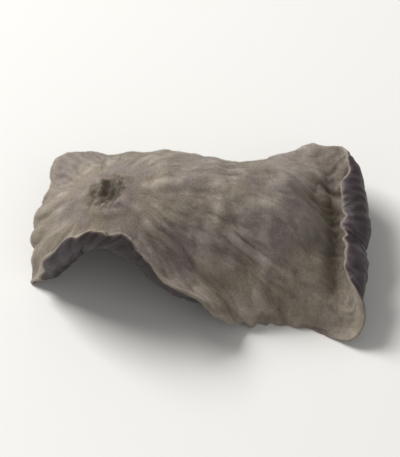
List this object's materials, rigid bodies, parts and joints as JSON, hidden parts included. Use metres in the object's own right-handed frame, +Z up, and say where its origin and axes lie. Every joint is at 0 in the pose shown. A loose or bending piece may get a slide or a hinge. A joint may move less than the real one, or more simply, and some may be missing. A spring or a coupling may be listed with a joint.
{
  "type": "dried wood ear mushroom",
  "caption": "Dried cupped fungus body lying with its downy back up: a thin leathery vault whose arched side and right end roll back to show the dark inside, with a small stalk scar.",
  "frame": {"origin": "under the middle of the body's box, on the surface that it lies on", "axes": "+X along the body towards the flared, rolled end; +Z up; -Y towards the side where the margin arches clear"},
  "size_m": [0.028, 0.0174, 0.0104],
  "materials": {
    "ear": "matt downy grey-brown back, near-black smoother inside"
  },
  "bodies": {
    "root": {"wood_ear": "ear"}
  },
  "joints": []
}
